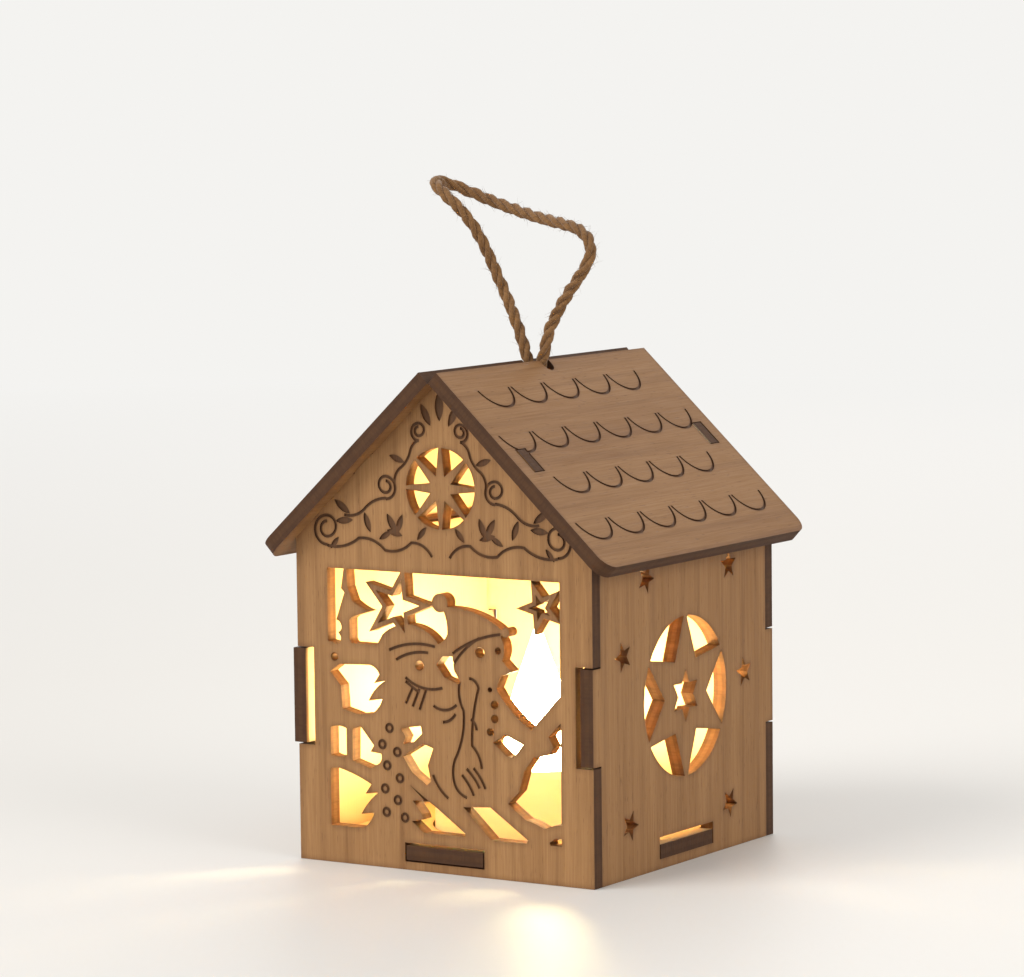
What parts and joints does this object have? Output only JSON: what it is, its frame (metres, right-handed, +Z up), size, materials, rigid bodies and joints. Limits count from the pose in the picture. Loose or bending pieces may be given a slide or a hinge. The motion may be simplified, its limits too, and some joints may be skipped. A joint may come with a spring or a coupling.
{
  "type": "tealight house",
  "caption": "Small laser-cut plywood lantern house with a picture window, star windows, a scalloped roof and a twine loop, over an electric tealight.",
  "frame": {"origin": "on the surface it stands on, under the middle of the roof", "axes": "+Z up, the picture window looks along -Y, the ridge runs along Y"},
  "size_m": [0.0706, 0.068, 0.1179],
  "materials": {
    "plywood": "raw, with burnt laser-cut edges",
    "jute_twine": "twisted, hairy",
    "ivory_plastic": "moulded, satin",
    "flame_plastic": "translucent, lit from inside",
    "tray_plastic": "moulded",
    "lamp_resin": "clear amber resin",
    "tinned_steel": "tinned wire",
    "cell_steel": "brushed",
    "gasket_plastic": "moulded",
    "contact_brass": "stamped",
    "switch_plastic": "moulded"
  },
  "bodies": {
    "tealight": {"tealight_shell": "ivory_plastic", "tealight_base": "ivory_plastic", "flame_cap": "flame_plastic", "lamp_tray": "tray_plastic", "led_lamp": "lamp_resin", "led_leads": "tinned_steel", "cell_can": "cell_steel", "cell_gasket": "gasket_plastic", "cell_cap": "cell_steel", "positive_contact": "contact_brass", "negative_contact": "contact_brass"},
    "house": {"front_wall": "plywood", "back_wall": "plywood", "left_wall": "plywood", "right_wall": "plywood", "base_plate": "plywood", "roof_left": "plywood", "roof_right": "plywood", "hanging_loop": "jute_twine", "hanging_knot": "jute_twine"},
    "cover": {"battery_cover": "ivory_plastic"},
    "switch": {"switch_slider": "switch_plastic"}
  },
  "joints": [
    {"name": "house_lift", "type": "slide", "parent": "tealight", "child": "house", "axis": [0, 0, 1], "range_m": [0, 0.045]},
    {"name": "cover_twist", "type": "hinge", "parent": "tealight", "child": "cover", "pos_m": [0, -0.004, 0], "axis": [0, 0, 1], "range_deg": [0, 35]},
    {"name": "switch_slide", "type": "slide", "parent": "tealight", "child": "switch", "axis": [-1, 0, 0], "range_m": [0, 0.003]}
  ]
}
